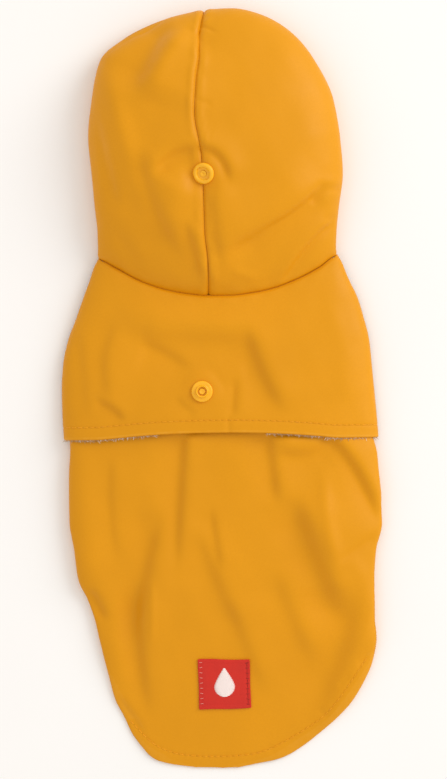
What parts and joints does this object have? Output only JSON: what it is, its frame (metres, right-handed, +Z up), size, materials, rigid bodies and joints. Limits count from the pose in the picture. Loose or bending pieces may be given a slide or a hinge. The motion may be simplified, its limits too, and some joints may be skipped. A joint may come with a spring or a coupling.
{
  "type": "dog raincoat",
  "caption": "Hooded dog raincoat laid flat on its belly, with a cape flap over the shoulders, a rounded tail, a small label and a press snap that holds the hood back.",
  "frame": {"origin": "middle of the laid garment's box, at the surface that it lies on", "axes": "+X to the wearer's right when it lies back up with the hood away from the viewer, +Y towards the hood's crown, +Z up out of the back"},
  "size_m": [0.1694, 0.4034, 0.0363],
  "materials": {
    "coated_knit": "yellow polyurethane coat on a knit backing, smooth with a soft satin sheen",
    "woven_label": "woven red ribbon, matte",
    "snap_plastic": "moulded yellow plastic, semi-gloss"
  },
  "bodies": {
    "root": {"hood_left": "coated_knit", "hood_right": "coated_knit", "cape_flap": "coated_knit", "back_panel": "coated_knit", "belly_panel": "coated_knit", "label": "woven_label", "hood_snap_socket": "snap_plastic", "hood_snap_cap": "snap_plastic", "flap_snap_stud": "snap_plastic", "flap_snap_cap": "snap_plastic"}
  },
  "joints": []
}
